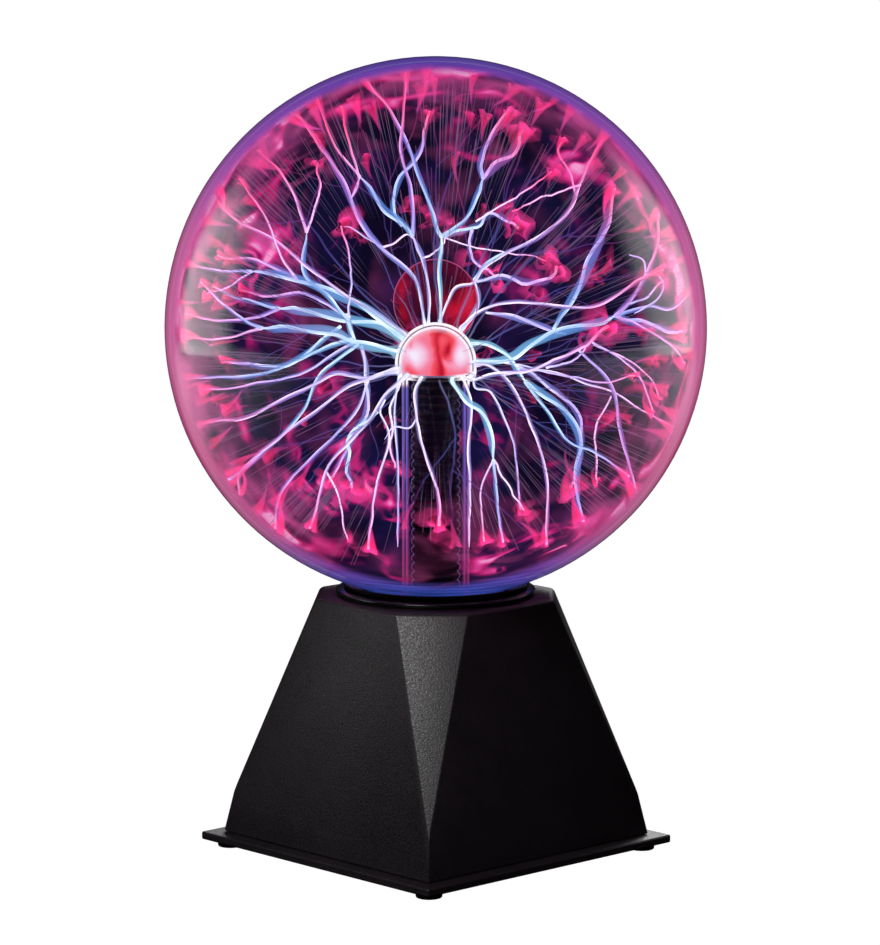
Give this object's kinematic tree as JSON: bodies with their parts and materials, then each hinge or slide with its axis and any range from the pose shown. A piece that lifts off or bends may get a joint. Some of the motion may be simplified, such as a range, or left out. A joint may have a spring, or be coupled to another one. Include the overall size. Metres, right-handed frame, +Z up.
{
  "type": "plasma ball",
  "caption": "Glass plasma globe with a central electrode stem on a black pyramid stand with cut corners, flanged bottom plate, rear rocker switch and power jack.",
  "frame": {"origin": "on the surface the feet stand on, under the globe's vertical axis", "axes": "+Z up through the globe, +Y towards the rear panel with switch and jack, +X to the right seen from the front"},
  "size_m": [0.2028, 0.2028, 0.3009],
  "materials": {
    "globe_glass": "clear blown glass, polished by fire",
    "graphite_coating": "thin conductive lining that glows coral red when lit",
    "zinc_plated_steel": "zinc plated",
    "black_nylon": "moulded, satin",
    "black_rubber": "moulded, matte",
    "brass": "drawn rod",
    "black_abs": "moulded with a fine spark-eroded grain",
    "silicone": "translucent white, matte",
    "fibreglass_board": "solder-masked circuit board",
    "ferrite": "sintered, satin",
    "enamelled_copper": "enamelled copper wire, varnished",
    "extruded_aluminium": "bare extrusion",
    "black_epoxy": "moulded epoxy, satin",
    "capacitor_sleeve": "shrunk sleeve",
    "film_capacitor_case": "moulded case",
    "resistor_body": "lacquered",
    "header_nylon": "moulded, off-white",
    "trimmer_case": "moulded, blue",
    "trimmer_rotor": "moulded, white",
    "rocker_plastic": "moulded, glossy",
    "silicone_lead": "high-voltage lead insulation",
    "pvc_lead": "lead insulation"
  },
  "bodies": {
    "stand_and_globe": {"globe_glass": "globe_glass", "stem_tube": "globe_glass", "exhaust_tip": "globe_glass", "electrode_liner": "graphite_coating", "contact_wool": "zinc_plated_steel", "stem_core": "black_nylon", "stem_bush": "black_rubber", "contact_rod": "brass", "high_voltage_boot": "black_rubber", "collar_ring": "black_abs", "globe_gasket": "black_rubber", "neck_sleeve": "silicone", "neck_holder": "black_nylon", "clamp_screw_rear_right": "zinc_plated_steel", "clamp_screw_rear_left": "zinc_plated_steel", "clamp_screw_front_left": "zinc_plated_steel", "clamp_screw_front_right": "zinc_plated_steel", "base_shell": "black_abs", "bottom_plate": "black_abs", "foot_rear_right": "black_rubber", "foot_rear_left": "black_rubber", "foot_front_left": "black_rubber", "foot_front_right": "black_rubber", "plate_screw_rear_right": "zinc_plated_steel", "plate_screw_rear_left": "zinc_plated_steel", "plate_screw_front_left": "zinc_plated_steel", "plate_screw_front_right": "zinc_plated_steel", "driver_board": "fibreglass_board", "board_screw_rear_right": "zinc_plated_steel", "board_screw_rear_left": "zinc_plated_steel", "board_screw_front_left": "zinc_plated_steel", "board_screw_front_right": "zinc_plated_steel", "ferrite_core": "ferrite", "transformer_bobbin": "black_nylon", "high_voltage_winding": "enamelled_copper", "heat_sink": "extruded_aluminium", "power_transistor": "black_epoxy", "transistor_screw": "zinc_plated_steel", "supply_capacitor": "capacitor_sleeve", "pulse_capacitor": "capacitor_sleeve", "timing_capacitor": "capacitor_sleeve", "film_capacitor": "film_capacitor_case", "driver_chip": "black_epoxy", "base_resistor": "resistor_body", "feedback_resistor": "resistor_body", "bias_resistor": "resistor_body", "microphone": "zinc_plated_steel", "power_header": "header_nylon", "switch_header": "header_nylon", "trimmer_case": "trimmer_case", "switch_housing": "black_nylon", "jack_body": "black_nylon", "jack_pin": "zinc_plated_steel", "jack_nut": "zinc_plated_steel", "high_voltage_lead": "silicone_lead", "jack_lead": "pvc_lead", "switch_lead": "pvc_lead"},
    "rocker": {"switch_rocker": "rocker_plastic"},
    "sensitivity_rotor": {"trimmer_rotor": "trimmer_rotor"}
  },
  "joints": [
    {"name": "power_rocker_tilt", "type": "hinge", "parent": "stand_and_globe", "child": "rocker", "pos_m": [-0.018, 0.04941, 0.03348], "axis": [-1, 0, 0], "range_deg": [-12, 12]},
    {"name": "sensitivity_turn", "type": "hinge", "parent": "stand_and_globe", "child": "sensitivity_rotor", "pos_m": [0.01, -0.022, 0.0209], "axis": [0, 0, 1], "range_deg": [-130, 130]}
  ]
}
